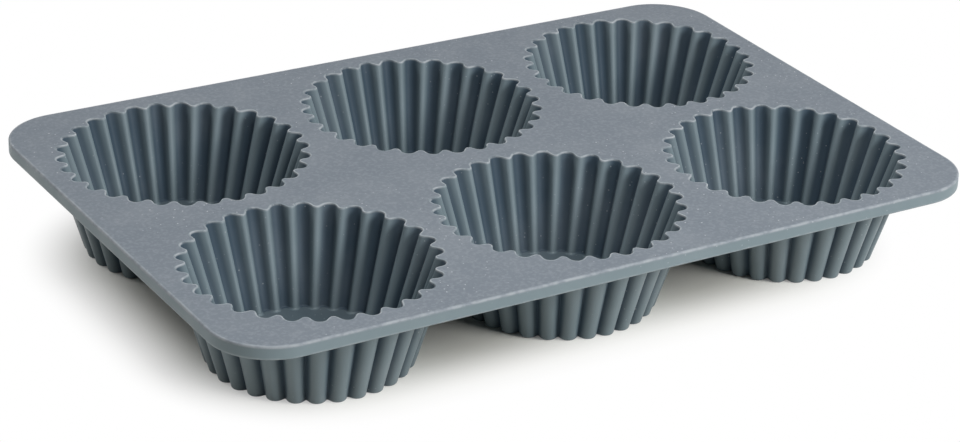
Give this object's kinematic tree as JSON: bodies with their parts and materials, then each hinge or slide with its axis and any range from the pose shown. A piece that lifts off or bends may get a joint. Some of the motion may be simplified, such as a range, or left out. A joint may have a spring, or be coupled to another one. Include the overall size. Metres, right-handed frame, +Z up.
{
  "type": "muffin tray",
  "caption": "Flat rectangular tray with round corners and round fluted tapering cups hanging from it, moulded in flexible silicone for baking.",
  "frame": {"origin": "centre of the tray on the plane that its cups stand on", "axes": "+X along the long side, to the right; +Y along the short side, away from the front; +Z up through the mouths of the cups"},
  "size_m": [0.265, 0.178, 0.0315],
  "materials": {
    "silicone": "satin blue-grey food-grade silicone"
  },
  "bodies": {
    "root": {"deck": "silicone", "cup_front_left": "silicone", "cup_front_middle": "silicone", "cup_front_right": "silicone", "cup_back_left": "silicone", "cup_back_middle": "silicone", "cup_back_right": "silicone"}
  },
  "joints": []
}
